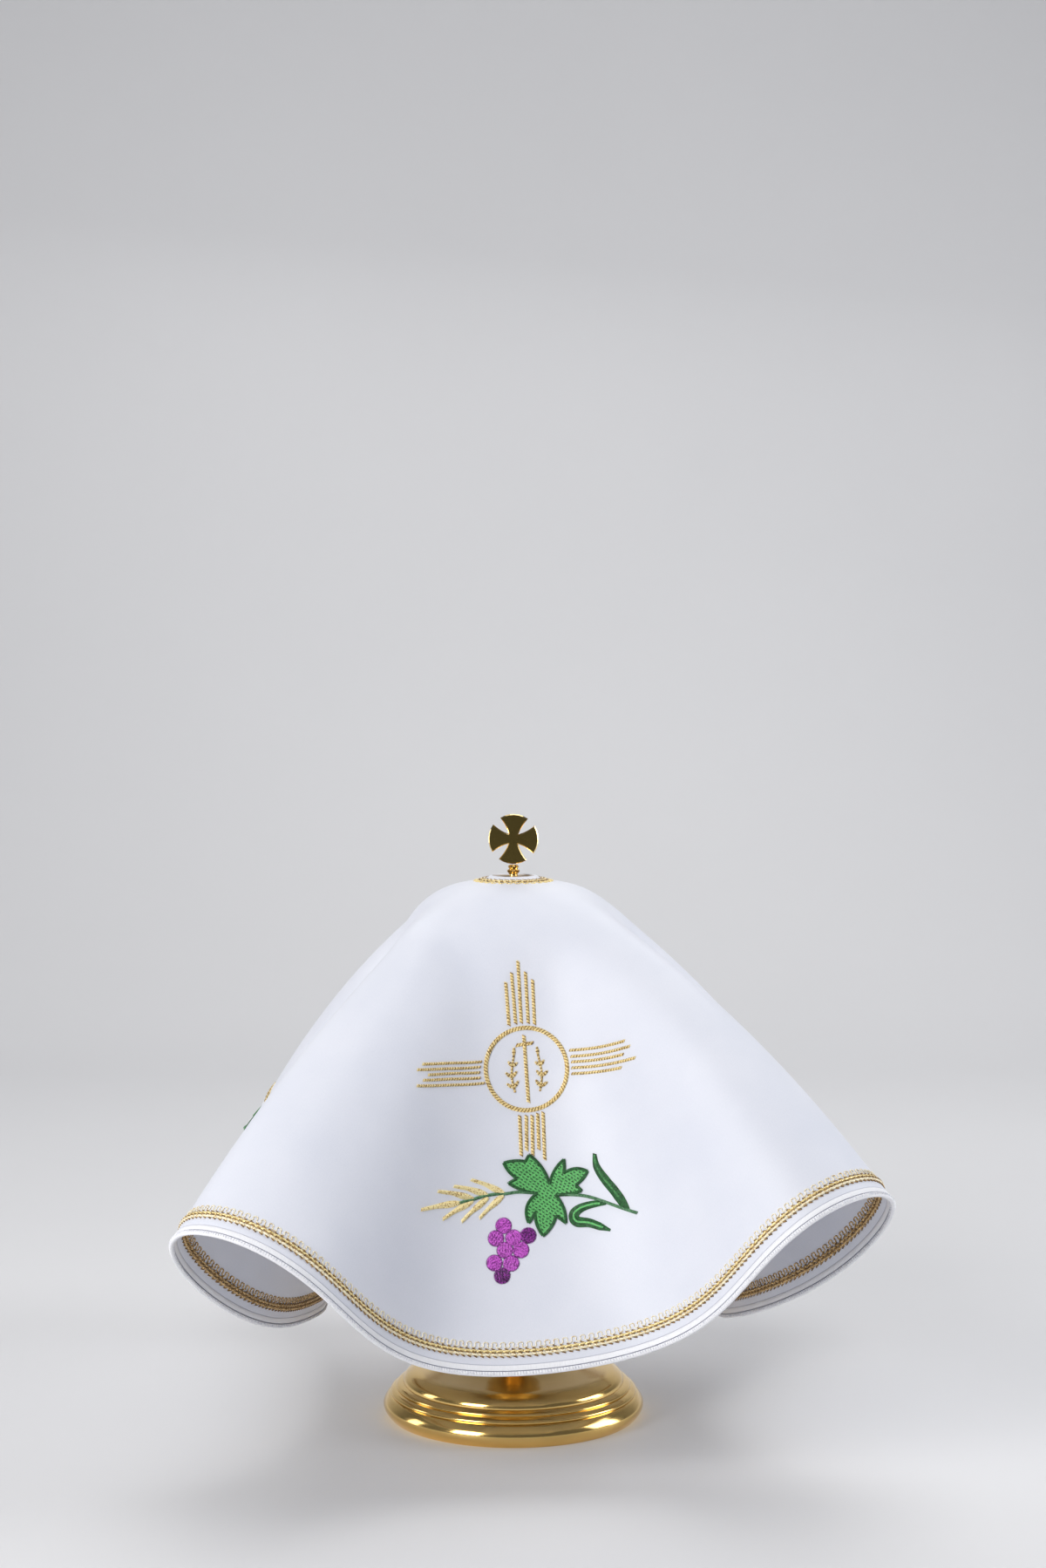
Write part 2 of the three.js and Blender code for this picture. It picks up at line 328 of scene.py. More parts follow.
def satin():
    """Matte white satin: fine floats, a hint of shade, a brighter ribbed band at the hem, and
    painted shade in the hem's groove and fold line.
    """
    finish = Finish("white satin", Roughness=0.5, Sheen_Weight=0.2, Sheen_Roughness=0.4)
    flat = finish.node("ShaderNodeUVMap", {"uv_map": "flat"}, {})
    floats = finish.grain(flat, 1, 1, (3600, 700, 1))
    weft = finish.grain(flat, 1, 1, (900, 5200, 1))
    cloud = finish.grain(flat, 26, 3)
    inward = VEIL_RADIUS * MM - finish.node("ShaderNodeVectorMath", {"operation": "LENGTH"},
                                            {0: flat}, "Value")
    across = finish.node("ShaderNodeSeparateXYZ", {}, {"Vector": flat}, "X")
    along = finish.node("ShaderNodeSeparateXYZ", {}, {"Vector": flat}, "Y")
    ribs = (along.combine("ARCTAN2", along, across) * HEM_RIBS).sine()
    hem_band = 1 - inward.above(4.7 * MM, 0.15 * MM)
    groove = inward.above(1.85 * MM, 0.1 * MM) * (1 - inward.above(2.3 * MM, 0.1 * MM))
    fold_line = inward.above(4.6 * MM, 0.1 * MM) * (1 - inward.above(5.0 * MM, 0.1 * MM))
    height = floats * 0.6 + weft * 0.4 + hem_band * ribs * 0.7
    finish.bump(height, 0.09 * MM, 0.5)
    shade = cloud * 0.5 + floats * 0.25 + weft * 0.25
    field = finish.mix(shade.above(0.5, 0.3), (0.71, 0.735, 0.82), (0.80, 0.815, 0.885))
    hem = finish.mix(hem_band, field, (0.90, 0.905, 0.94))
    # Painted shade: the hem's groove and its fold line are darkened in colour, where shade falls in
    # them.
    lines = groove + fold_line * 0.6
    finish.wear(Base_Color=finish.mix(lines, hem, (0.36, 0.37, 0.45)))
    return finish.material


def thread(name, light, dark, gloss, metal=0.0, speckle=0.5):
    """Embroidery thread in two tones, with painted shade: darker in small specks where the strands
    dip.
    """
    finish = Finish(name, Metallic=metal, Sheen_Weight=0.1)
    place = finish.place()
    specks = finish.grain(place, 1500, 1)
    broad = finish.grain(place, 320, 1)
    fine = finish.grain(place, 3200, 1)
    # Painted shade: specks of the darker tone stand in for the shade where the strands dip.
    painted_dip_shade = (specks * 0.8 + broad * 0.2).above(speckle, 0.035)
    finish.wear(Base_Color=finish.mix(painted_dip_shade, light, dark), Roughness=gloss + fine * 0.2)
    finish.bump(fine, 0.05 * MM, 0.4)
    return finish.material


def gilt(name, turned):
    """Polished gilt with fine turning lines. A flat piece has fine scratches instead, and its faces
    that look to the front and back are painted darker, a painted dark reflection of the room, so
    that only its edges stay bright."""
    finish = Finish(name, Metallic=1.0)
    place = finish.place()
    light = (0.90, 0.62, 0.22)
    if turned:
        radius = finish.node("ShaderNodeVectorMath", {"operation": "LENGTH"}, {
            0: finish.node("ShaderNodeVectorMath", {"operation": "MULTIPLY"}, {
                0: place, 1: (1, 1, 0)})}, "Value")
        height = finish.node("ShaderNodeSeparateXYZ", {}, {"Vector": place}, "Z")
        ring = finish.node("ShaderNodeCombineXYZ", {}, {"X": radius, "Y": height})
        lines = finish.grain(ring, 1500, 2)
    else:
        lines = finish.grain(place, 1, 2, (900, 900, 5200))
        # Painted reflection: faces that look along Y are darkened in colour, standing in for the
        # dark room mirrored in polished flats; the edges keep the bright gold.
        normal = finish.node("ShaderNodeNewGeometry", {}, {}, "Normal")
        facing = finish.node("ShaderNodeSeparateXYZ", {}, {"Vector": normal}, "Y")
        flat = (facing * facing).above(0.9, 0.05)
        light = finish.mix(flat, (0.85, 0.66, 0.33), (0.36, 0.27, 0.08))
    cloud = finish.grain(place, 60, 3)
    dark = finish.mix(0.25, light, (0.40, 0.22, 0.05))
    finish.wear(
        Base_Color=finish.mix(cloud, dark, light),
        Roughness=0.07 + lines * 0.1 + cloud * 0.04,
    )
    finish.bump(lines, 0.02 * MM, 0.35)
    return finish.material


WHITE_SATIN = satin()
WHITE_THREAD = thread("white overlock thread", (0.95, 0.95, 0.97), (0.72, 0.73, 0.8), 0.45)
GOLD_THREAD = thread("gold thread", (1.0, 0.82, 0.40), (0.50, 0.32, 0.10), 0.28, 0.25, 0.58)
# Darker gold that paints the shade in the twist of the gold strokes
TWIST_SHADE_GOLD_THREAD = thread("twist shade gold thread", (0.56, 0.36, 0.11), (0.20, 0.11, 0.03), 0.3, 0.25)
CREAM_THREAD = thread("cream gold thread", (1.0, 0.92, 0.68), (0.72, 0.52, 0.24), 0.35, 0.1, 0.56)
WHEAT_THREAD = thread("wheat thread", (1.0, 0.86, 0.46), (0.55, 0.36, 0.12), 0.32, 0.1, 0.57)
OLD_GOLD_THREAD = thread("old gold thread", (0.82, 0.58, 0.28), (0.34, 0.20, 0.07), 0.4, 0.15)
BROWN_GOLD_THREAD = thread("brown gold thread", (0.40, 0.23, 0.07), (0.15, 0.08, 0.02), 0.35, 0.2)
LEAF_THREAD = thread("leaf green thread", (0.20, 0.68, 0.22), (0.12, 0.48, 0.14), 0.35, 0.0, 0.55)
STEM_THREAD = thread("stem green thread", (0.16, 0.36, 0.18), (0.04, 0.15, 0.06), 0.4)
BLADE_THREAD = thread("blade green thread", (0.09, 0.34, 0.10), (0.03, 0.17, 0.045), 0.35)
DARK_GREEN_THREAD = thread("dark green thread", (0.02, 0.16, 0.035), (0.006, 0.06, 0.012), 0.35)
GRAPE_THREAD = thread("grape thread", (0.74, 0.15, 0.76), (0.36, 0.05, 0.38), 0.32, 0.0, 0.53)
DARK_GRAPE_THREAD = thread("dark grape thread", (0.34, 0.04, 0.38), (0.09, 0.01, 0.11), 0.35)
TURNED_GILT = gilt("turned gilt", True)
FLAT_GILT = gilt("flat gilt", False)


# Pieces

SHARP_ANGLE = math.radians(40)


def put(name, mesh, material, slot, nodes=()):
    """Finish a mesh, made in millimetres, as a piece of the object in metres."""
    mesh.transform(Matrix.Scale(MM, 4))
    mesh.materials.clear()
    mesh.materials.append(material)
    obj = bpy.data.objects.new(name, mesh)
    bpy.context.scene.collection.objects.link(obj)
    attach(obj, "root")
    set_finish(obj, slot)
    if nodes:
        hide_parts(*nodes)
    return obj


def mesh_of(name, bm):
    """A mesh from a bmesh, merged, facing outwards, smooth but for its sharp edges."""
    bmesh.ops.remove_doubles(bm, verts=bm.verts, dist=0.002)
    bmesh.ops.recalc_face_normals(bm, faces=bm.faces)
    mesh = bpy.data.meshes.new(name)
    bm.to_mesh(mesh)
    bm.free()
    mesh.shade_smooth()
    mesh.set_sharp_from_angle(angle=SHARP_ANGLE)
    return mesh


def veil():
    """The veil as one closed sheet: a grid of places round the cloth and rows across its
    section, out over the outer face, round the hem and back along the inner face."""
    hem_width = HEM_SECTION["inward"][-1]
    field = np.arange(NECK_HOLE_RADIUS + 2, VEIL_RADIUS - hem_width - 1, FIELD_STEP)
    neck = NECK_HOLE_RADIUS + np.array([0, 0.1, 0.35, 0.8, 1.4])
    rows = np.concatenate([neck, field, VEIL_RADIUS - HEM_SECTION["inward"][::-1]])
    lengths = np.concatenate([rows, rows[::-1], rows[:1]])
    faces = np.concatenate([0 * rows + OUTER_FACE, 0 * rows + INNER_FACE, [OUTER_FACE]])
    bm = bmesh.new()
    bmesh.ops.create_grid(bm, x_segments=VEIL_SPOKES, y_segments=len(lengths) - 1, size=1)
    flat = np.array([vertex.co[:2] for vertex in bm.verts])
    angle = (1 + flat[:, 0]) * math.pi
    row = np.rint((1 + flat[:, 1]) / 2 * (len(lengths) - 1)).astype(int)
    length = lengths[row]
    placed = surface_point(length, angle, faces[row] * half_thickness(length))
    cut = np.stack([length * np.cos(angle), length * np.sin(angle)], axis=-1) * MM
    uv = bm.loops.layers.uv.new("flat")
    for vertex, place, where in zip(bm.verts, placed, cut):
        vertex.co = place
        for loop in vertex.link_loops:
            loop[uv].uv = where
    return put("veil_satin", mesh_of("veil_satin", bm), WHITE_SATIN, "satin", ["veil"])


def threads(name, groups, material, radius, sides=4, closed=False):
    """Many threads as one piece. Each group is an array of threads, each a row of points."""
    curve = bpy.data.curves.new(name, "CURVE")
    curve.dimensions = "3D"
    curve.bevel_depth = radius
    curve.bevel_resolution = (sides - 4) // 2
    curve.use_fill_caps = not closed
    for group in groups:
        for line in group:
            spline = curve.splines.new("POLY")
            spline.points.add(len(line) - 1)
            spline.points.foreach_set("co", np.c_[line, np.ones(len(line))].ravel())
            spline.use_cyclic_u = closed
    source = bpy.data.objects.new(name + "_curve", curve)
    bpy.context.scene.collection.objects.link(source)
    graph = bpy.context.evaluated_depsgraph_get()
    mesh = bpy.data.meshes.new_from_object(source.evaluated_get(graph))
    bpy.data.objects.remove(source)
    bpy.data.curves.remove(curve)
    mesh.name = name
    put(name, mesh, material, "satin")


# Stitches on the flat cloth

SHORTEST_STITCH = 0.5
ROW_STAGGER = 0.31


def smooth_path(points):
    """A Catmull-Rom curve through a few points, as many close points."""
    points = np.asarray(points, float)
    last = len(points) - 1
    if last == 1:
        return points[0] + (points[1] - points[0]) * np.linspace(0, 1, 20)[:, None]
    made = []
    for span in range(last):
        before, start, end, after = points[[max(span - 1, 0), span, span + 1, min(span + 2, last)]]
        t = np.linspace(0, 1, 12, endpoint=False)[:, None]
        made.append(0.5 * (2 * start + (end - before) * t
                           + (2 * before - 5 * start + 4 * end - after) * t ** 2
                           + (3 * start - before - 3 * end + after) * t ** 3))
    made.append(points[-1:])
    return np.concatenate(made)


def even_steps(path, pitch):
    """Points one pitch apart along a path, the way it runs at each, and the share of its run."""
    run = np.concatenate([[0], np.cumsum(np.linalg.norm(np.diff(path, axis=0), axis=1))])
    count = max(int(round(run[-1] / pitch)), 2)
    at = (np.arange(count) + 0.5) / count * run[-1]
    reach = min(0.4 * pitch, 0.2)

    def place(distance):
        return np.stack([np.interp(distance, run, path[:, axis]) for axis in (0, 1)], axis=-1)

    along = unit(place(np.minimum(at + reach, run[-1])) - place(np.maximum(at - reach, 0)))
    return place(at), along, at / run[-1]


def satin_column(path, half_width, pitch, slant=0.0):
    """Satin stitches side by side across a path. half_width is one number, or one for each of
    some evenly spaced places along the path."""
    at, along, share = even_steps(np.asarray(path, float), pitch)
    across = np.stack([-along[:, 1], along[:, 0]], axis=-1)
    widths = np.atleast_1d(half_width).astype(float)
    half = np.interp(share, np.linspace(0, 1, len(widths)), widths)[:, None]
    reach = half * (across + slant * along)
    return np.stack([at - reach, at, at + reach], axis=1)


def circle(centre, radius, steps=96):
    turn = np.linspace(0, 2 * math.pi, steps + 1)
    x = centre[0] + radius * np.cos(turn)
    y = centre[1] + radius * np.sin(turn)
    return np.stack([x, y], axis=-1)


def arc_outline(corners, steps=8):
    """A closed outline from corners: x, y and how far the side to the next corner bows out."""
    made = []
    for (x, y, bow), (next_x, next_y, _) in zip(corners, corners[1:] + corners[:1]):
        t = np.linspace(0, 1, steps, endpoint=False)[:, None]
        start = np.array([x, y], float)
        run = np.array([next_x, next_y], float) - start
        out = np.array([-run[1], run[0]]) / np.linalg.norm(run)
        made.append(start + run * t + out * 4 * bow * t * (1 - t))
    made.append(made[0][:1])
    return np.concatenate(made)


def filled(outline, way, row_pitch, stitch, inset=0.0):
    """Rows of running stitches that fill an outline, all one way, as a list of threads."""
    turn = math.radians(way)
    ahead = np.array([math.cos(turn), math.sin(turn)])
    aside = np.array([-ahead[1], ahead[0]])
    u = outline @ ahead
    v = outline @ aside
    rows = np.arange(v.min() + row_pitch / 2, v.max(), row_pitch)
    made = []
    for number, row in enumerate(rows):
        crossing = (v[:-1] - row) * (v[1:] - row) < 0
        share = (row - v[:-1][crossing]) / (v[1:][crossing] - v[:-1][crossing])
        ends = np.sort(u[:-1][crossing] + share * (u[1:][crossing] - u[:-1][crossing]))
        for start, end in zip(ends[::2] + inset, ends[1::2] - inset):
            if end - start < SHORTEST_STITCH:
                continue
            shift = ROW_STAGGER * number
            first = math.ceil(start / stitch + shift) - shift
            inner = np.arange(first, end / stitch) * stitch
            knots = np.unique(np.concatenate([[start], inner, [end]]))
            middles = (knots[1:] + knots[:-1]) / 2
            places = np.sort(np.concatenate([knots, middles]))
            low = np.isin(places, knots)
            made.append((places[:, None] * ahead + row * aside, low))
    return made


def turned_copies(flat, lift, turns):
    """Draped copies of flat stitches, turned round the cloth by some angles in degrees."""
    made = []
    for turn in np.radians(turns):
        spin = np.array([[math.cos(turn), math.sin(turn)], [-math.sin(turn), math.cos(turn)]])
        made.append(lay(np.asarray(flat) @ spin, lift))
    return made


def laid_columns(columns, radius, puff, turns, base=0.0):
    """Satin columns, draped and turned: each stitch rises by puff in its middle."""
    lift = base + np.array([radius * 0.2, radius * 0.6 + puff, radius * 0.2])
    return [group for column in columns for group in turned_copies(column, lift, turns)]


def laid_fills(fills, radius, puff, turns):
    """Rows of running stitches, draped and turned: each rises between the places it dips in."""
    made = []
    for line, low in fills:
        lift = np.where(low, radius * 0.1, radius * 0.3 + puff)
        made.extend(side[None] for side in turned_copies(line, lift, turns))
    return made


# The embroidered motif, in millimetres on the flat cloth, with its foot towards the hem

RING_CENTRE = (2.7, -130.1)
RING_RADIUS = 19.45
RING_HALF_WIDTH = 0.95
RING_CROSS_HALF_WIDTH = 0.75

# Each group of rays: half the width of a ray, how far its middle bows up, and the rays' ends
RAYS = [
    (0.7, 0.0, [
        ((-4.6, -109.3), (-5.3, -88.6)),
        ((-1.4, -108.6), (-2.3, -84.2)),
        ((1.3, -108.3), (1.0, -78.6)),
        ((4.6, -108.6), (4.4, -84.0)),
        ((7.6, -109.3), (7.7, -87.8)),
    ]),
    (0.5, 0.9, [
        ((-18.6, -126.3), (-52.5, -132.5)),
        ((-19.4, -128.8), (-55.7, -135.8)),
        ((-19.7, -131.4), (-49.1, -136.5)),
        ((-19.6, -133.9), (-52.2, -139.6)),
        ((-17.6, -136.3), (-56.0, -143.0)),
    ]),
    (0.55, 0.0, [
        ((23.9, -122.5), (54.7, -123.4)),
        ((24.3, -125.5), (57.4, -126.6)),
        ((24.5, -128.1), (53.3, -129.3)),
        ((24.4, -130.9), (59.8, -132.6)),
        ((24.2, -133.7), (51.4, -135.0)),
    ]),
    (0.7, 0.0, [
        ((-1.5, -151.9), (-1.6, -170.6)),
        ((1.6, -152.0), (1.0, -168.3)),
        ((4.3, -152.1), (3.7, -170.7)),
        ((6.9, -151.3), (6.6, -168.2)),
        ((9.4, -150.9), (9.0, -173.1)),
    ]),
]

RING_CROSS = [((2.2, -114.3), (2.9, -146.0)), ((-1.7, -118.8), (6.4, -118.0))]
SPRIG_STEM = [(8.5, -141), (9.8, -133), (8.5, -124)]
SPRIG_STEM_HALF_WIDTH = 0.4
SPRIG_LEAF_HALF_WIDTHS = [0.25, 0.85, 0.25]
# Each pair of leaves on a sprig: its share of the way up the stem, and its size
SPRIG_LEAVES = [(0.12, 4.6), (0.42, 4.4), (0.72, 3.6)]

# Corners of the leaf: x, y and how far the side to the next corner bows out
LEAF = [
    (-9.9, -173.5, 0.7),
    (0.2, -173.3, 0.1),
    (2.0, -170.4, 1.5),
    (10.6, -184.7, 1.3),
    (17.8, -173.6, 0.3),
    (17.3, -180.0, 1.8),
    (28.6, -180.0, 0.6),
    (22.5, -185.9, 0.1),
    (25.1, -188.7, 0.6),
    (12.9, -189.5, 1.4),
    (16.9, -202.9, 0.0),
    (12.7, -199.1, 0.9),
    (6.4, -207.8, 1.0),
    (3.4, -196.8, 0.2),
    (0.3, -201.5, 2.9),
    (4.9, -188.2, 0.9),
    (-8.0, -182.9, 0.1),
    (-4.0, -181.0, 0.7),
]
WHEAT_STEM = [
    (-32.1, -191.5), (-25.9, -190.0), (-19.8, -188.3), (-13.8, -187.5), (-9.4, -187.5),
    (-3.6, -187.1), (3.7, -188.0),
]
VINE_STEM = [
    (13.6, -189.6), (21.5, -190.2), (28.0, -191.6), (35.9, -194.8), (43.2, -198.1), (51.9, -201.8),
]
BLADE = [
    (32.7, -172.2), (33.3, -178.2), (36.9, -184.6), (41.2, -190.4), (44.6, -195.9), (46.2, -199.2),
]
BLADE_HALF_WIDTHS = [0.8, 1.7, 2.1, 2.2, 2.3, 1.8]
HOOK = [
    (36.3, -195.5), (30.0, -195.3), (24.0, -196.6), (20.8, -199.2), (21.8, -202.4),
    (27.5, -203.6), (32.2, -205.6), (37.3, -207.9),
]
HOOK_HALF_WIDTHS = [0.6, 1.5, 1.8, 2.3, 2.4, 2.0, 1.7, 0.4]
WHEAT = [
    ((-10.1, -187.6), (-25.7, -180.8)),
    ((-17.8, -188.0), (-34.6, -184.1)),
    ((-24.6, -189.6), (-43.4, -187.1)),
    ((-31.4, -191.4), (-53.2, -196.4)),
    ((-24.9, -190.6), (-40.8, -199.3)),
    ((-17.6, -189.2), (-30.9, -199.9)),
    ((-10.4, -188.4), (-22.1, -198.3)),
]
WHEAT_HALF_WIDTHS = [0.6, 1.3, 1.5, 1.2, 0.9, 0.8, 0.75, 0.6]

# Each grape: x, y and the way of its stitches in degrees
GRAPE_RADIUS = 3.45
GRAPES = [
    (-11.0, -202.0, 20), (-14.7, -207.5, 70), (-6.8, -207.6, 130), (-10.9, -213.0, 100),
    (-3.7, -213.4, 160), (-15.8, -218.5, 35), (-8.3, -219.1, 80),
]
DARK_GRAPES = [(-0.2, -207.1, 50), (-12.5, -224.4, 110)]

# Threads of the motif
STITCH_RADIUS = 0.27
RIM_RADIUS = 0.18
DASH_RADIUS = 0.29
SATIN_PITCH = 0.42
GOLD_PITCH = 0.5
GOLD_SLANT = 0.7
LEAF_WAY = -38
DASH_ROW_PITCH = 1.35
DASH_STEP = 1.9
DASH_LENGTH = 1.0
DASH_LIFT = 0.58


def gold_motif():
    """Ring, cross, sprigs and rays in satin columns, every third stitch in a darker gold as painted
    shade in the twist of the thread.
    """
    strokes = [(circle(RING_CENTRE, RING_RADIUS), RING_HALF_WIDTH)]
    for start, end in RING_CROSS:
        strokes.append((smooth_path([start, end]), RING_CROSS_HALF_WIDTH))
    for half_width, bow, rays in RAYS:
        for start, end in rays:
            middle = ((start[0] + end[0]) / 2, (start[1] + end[1]) / 2 + bow)
            strokes.append((smooth_path([start, middle, end]), half_width))
    columns = [satin_column(line, half, GOLD_PITCH, GOLD_SLANT) for line, half in strokes]
    for side in (-1, 1):
        stem = smooth_path(SPRIG_STEM)
        at, along, _ = even_steps(stem, 0.25)
        lines = [stem]
        for share, size in SPRIG_LEAVES:
            index = int(share * len(at))
            for lean in (-1, 1):
                across = np.array([-along[index, 1], along[index, 0]]) * lean
                tip = at[index] + size * (0.62 * across + 0.62 * along[index])
                lines.append(smooth_path([at[index], tip]))
        lines.append(smooth_path([stem[-1], stem[-1] + np.array([-0.4, 4.2])]))
        for number, line in enumerate(lines):
            widths = SPRIG_LEAF_HALF_WIDTHS if number else SPRIG_STEM_HALF_WIDTH
            mirrored = line.copy()
            mirrored[:, 0] = RING_CENTRE[0] + side * (line[:, 0] - RING_CENTRE[0])
            columns.append(satin_column(mirrored, widths, GOLD_PITCH))
    laid = laid_columns(columns, STITCH_RADIUS, 0.4, CROSS_TURNS)
    # Every third stitch is laid in the darker gold: painted shade, so the strokes look twisted.
    bright = [column[np.arange(len(column)) % 3 != 0] for column in laid]
    threads("gold_embroidery", bright, GOLD_THREAD, STITCH_RADIUS)
    threads("gold_twist_shade", [column[::3] for column in laid], TWIST_SHADE_GOLD_THREAD, STITCH_RADIUS)


def green_motif():
    """Leaf with its dashes and outline, blade, hook, their veins and the stems."""
    outline = arc_outline(LEAF)
    leaf = laid_fills(filled(outline, LEAF_WAY, SATIN_PITCH, 3.4), STITCH_RADIUS, 0.22, SPRAY_TURNS)
    threads("leaf_fill", leaf, LEAF_THREAD, STITCH_RADIUS)
    dashes = []
    for number, (line, _) in enumerate(filled(outline, LEAF_WAY, DASH_ROW_PITCH, 50, 0.4)):
        start, end = line[0], line[-1]
        run = np.linalg.norm(end - start)
        ahead = (end - start) / run
        shift = DASH_STEP / 2 if number % 2 else 0
        for distance in np.arange(0.5 + shift, run - 1, DASH_STEP):
            dash_start = start + ahead * distance
            dashes.append([dash_start, start + ahead * (distance + DASH_LENGTH)])
    marks = turned_copies(np.array(dashes), DASH_LIFT, SPRAY_TURNS)
    threads("leaf_dashes", marks, DARK_GREEN_THREAD, DASH_RADIUS)
    edge = [satin_column(outline, 0.6, SATIN_PITCH, 0.2)]
    threads("leaf_outline", laid_columns(edge, STITCH_RADIUS, 0.3, SPRAY_TURNS, 0.3),
            DARK_GREEN_THREAD, STITCH_RADIUS)
    columns = [
        satin_column(smooth_path(BLADE), BLADE_HALF_WIDTHS, 0.45, 0.5),
        satin_column(smooth_path(HOOK), HOOK_HALF_WIDTHS, 0.27),
    ]
    threads("blade_embroidery", laid_columns(columns, STITCH_RADIUS, 0.36, SPRAY_TURNS),
            DARK_GREEN_THREAD, STITCH_RADIUS)
    stems = [satin_column(smooth_path(path), 0.6, 0.45, 0.6) for path in (WHEAT_STEM, VINE_STEM)]
    threads("stem_embroidery", laid_columns(stems, STITCH_RADIUS, 0.6, SPRAY_TURNS), STEM_THREAD,
            STITCH_RADIUS)
    for name, line, half_width, material in (
        ("blade_vein", smooth_path(BLADE)[2:-18], 0.4, BLADE_THREAD),
        ("hook_vein", smooth_path(HOOK)[6:-8], 0.3, LEAF_THREAD),
    ):
        vein = [satin_column(line, half_width, SATIN_PITCH, 0.5)]
        laid = laid_columns(vein, STITCH_RADIUS, 0.2, SPRAY_TURNS, 0.6)
        threads(name, laid, material, STITCH_RADIUS)


def wheat_and_grapes():
    """Ears of wheat in satin columns, and grapes in rows of stitches with a dark rim."""
    ears = []
    for start, end in WHEAT:
        start, end = np.array(start), np.array(end)
        bend = (start + end) / 2 + np.array([0.0, 0.9 if end[1] > start[1] else 0.5])
        ears.append(satin_column(smooth_path([start, bend, end]), WHEAT_HALF_WIDTHS, 0.46, 0.5))
    threads("wheat_embroidery", laid_columns(ears, STITCH_RADIUS, 0.45, SPRAY_TURNS), WHEAT_THREAD,
            STITCH_RADIUS)
    for name, grapes, material in (("grapes", GRAPES, GRAPE_THREAD),
                                   ("dark_grapes", DARK_GRAPES, DARK_GRAPE_THREAD)):
        fills = []
        for x, y, way in grapes:
            fills.extend(filled(circle((x, y), GRAPE_RADIUS, 40), way, SATIN_PITCH, 9))
        threads(name, laid_fills(fills, STITCH_RADIUS, 0.55, SPRAY_TURNS), material, STITCH_RADIUS)
    rims = []
    for x, y, _ in GRAPES + DARK_GRAPES:
        rims.append(satin_column(circle((x, y), GRAPE_RADIUS), 0.3, 0.5, 0.3))
    laid = laid_columns(rims, RIM_RADIUS, 0.2, SPRAY_TURNS)
    threads("grape_rims", laid, DARK_GRAPE_THREAD, RIM_RADIUS)


# Braid round the hem and the neck

BRAID_RADIUS = VEIL_RADIUS - 8.5
NECK_BRAID_RADIUS = 13.7
BRAID_PITCH = 2.95
LOOP_PITCH = 3.83
LOOP_DEPTH = 2.5
LOOP_POINTS = 10
STRAND_RADIUS = 0.62
TIE_RADIUS = 0.33
OVERLOCK_PITCH = 1.3
OVERLOCK_RADIUS = 0.32


def ringed(radius, share):
    """A flat point at a radius, a share of the way round."""
    turn = 2 * math.pi * share
    return np.stack([radius * np.cos(turn), radius * np.sin(turn)], axis=-1)


def braid_row(radius, pitch, length, slant, shift=0.0):
    """Short strands end to end round a circle, each slanted across the row."""
    count = int(round(2 * math.pi * radius / pitch))
    middle = (np.arange(count) + shift) / count
    parts = np.array([-0.5, -0.2, 0.2, 0.5])
    share = middle[:, None] + parts * length / (2 * math.pi * radius)
    return ringed(radius + slant * parts * 2 + 0 * share, share)


def loop_row(base, depth):
    """One thread that winds in round loops all the way round, between two radii."""
    swing = math.radians(104)
    count = int(round(2 * math.pi * abs(base) / LOOP_PITCH))
    phase = np.arange(LOOP_POINTS) / LOOP_POINTS * 2 * math.pi
    fine = np.linspace(0, 2 * math.pi, 721)
    heading = swing * np.cos(fine)
    along = np.concatenate([[0], np.cumsum((np.cos(heading)[1:] + np.cos(heading)[:-1]) / 2)])
    away = np.concatenate([[0], np.cumsum((np.sin(heading)[1:] + np.sin(heading)[:-1]) / 2)])
    along = np.interp(phase, fine, along / along[-1])
    away = np.interp(phase, fine, (away - away.min()) / (away.max() - away.min()))
    share = (np.arange(count)[:, None] + along).ravel() / count
    radius = base + depth * np.tile(away, count)
    return ringed(radius, share)[None]


def braid(name, base, inward, face, outer, inner, loop_thread, loop_radius):
    """Two rows of slanted strands with dark ties beside them, and a row of loops beyond them."""
    lift = np.array([0.05, 0.42, 0.42, 0.05])
    rows = (("outer", outer, 0.75, 0.2, 0), ("inner", inner, 2.25, -0.2, 0.5))
    for side, strand, place, slant, shift in rows:
        row = lay(braid_row(base + inward * place, BRAID_PITCH, 2.9, slant, shift), lift, face)
        threads(name + "_" + side + "_strands", [row], strand, STRAND_RADIUS, 6)
    ties = []
    for place, shift, height in ((-0.15, 0.5, 0.3), (1.5, 0.0, 0.85), (3.1, 0.0, 0.4)):
        tie = braid_row(base + inward * place, BRAID_PITCH, 1.6, 0.3, shift)
        ties.append(lay(tie, height, face))
    threads(name + "_ties", ties, BROWN_GOLD_THREAD, TIE_RADIUS)
    loops = lay(loop_row(base + inward * 3.7, inward * LOOP_DEPTH), 0.14, face)
    threads(name + "_loops", [loops], loop_thread, loop_radius, closed=True)


def overlock(name):
    """White thread wound over the cloth's outer edge, once for every pitch."""
    count = int(round(2 * math.pi * VEIL_RADIUS / OVERLOCK_PITCH))
    across = np.array([1.7, 0.9, 0.1, 0.9, 1.7])
    sides = np.array([1, 1, 0, -1, -1])
    share = (np.arange(count)[:, None] + np.arange(5) / 8) / count
    flat = ringed(VEIL_RADIUS - across + 0 * share, share)
    length = np.hypot(flat[..., 0], flat[..., 1])
    offset = sides * (half_thickness(length) + 0.08)
    line = surface_point(length, 2 * math.pi * share, offset)
    threads(name, [line], WHITE_THREAD, OVERLOCK_RADIUS)


# Ciborium

def bead(bottom_radius, bottom, top_radius, top, swell, steps=12):
    """Points of a round moulding that swells out of a straight profile between two heights."""
    part = np.linspace(0, 1, steps + 1)
    radius = bottom_radius + (top_radius - bottom_radius) * part + swell * np.sin(math.pi * part)
    return list(zip(radius, bottom + (top - bottom) * part))


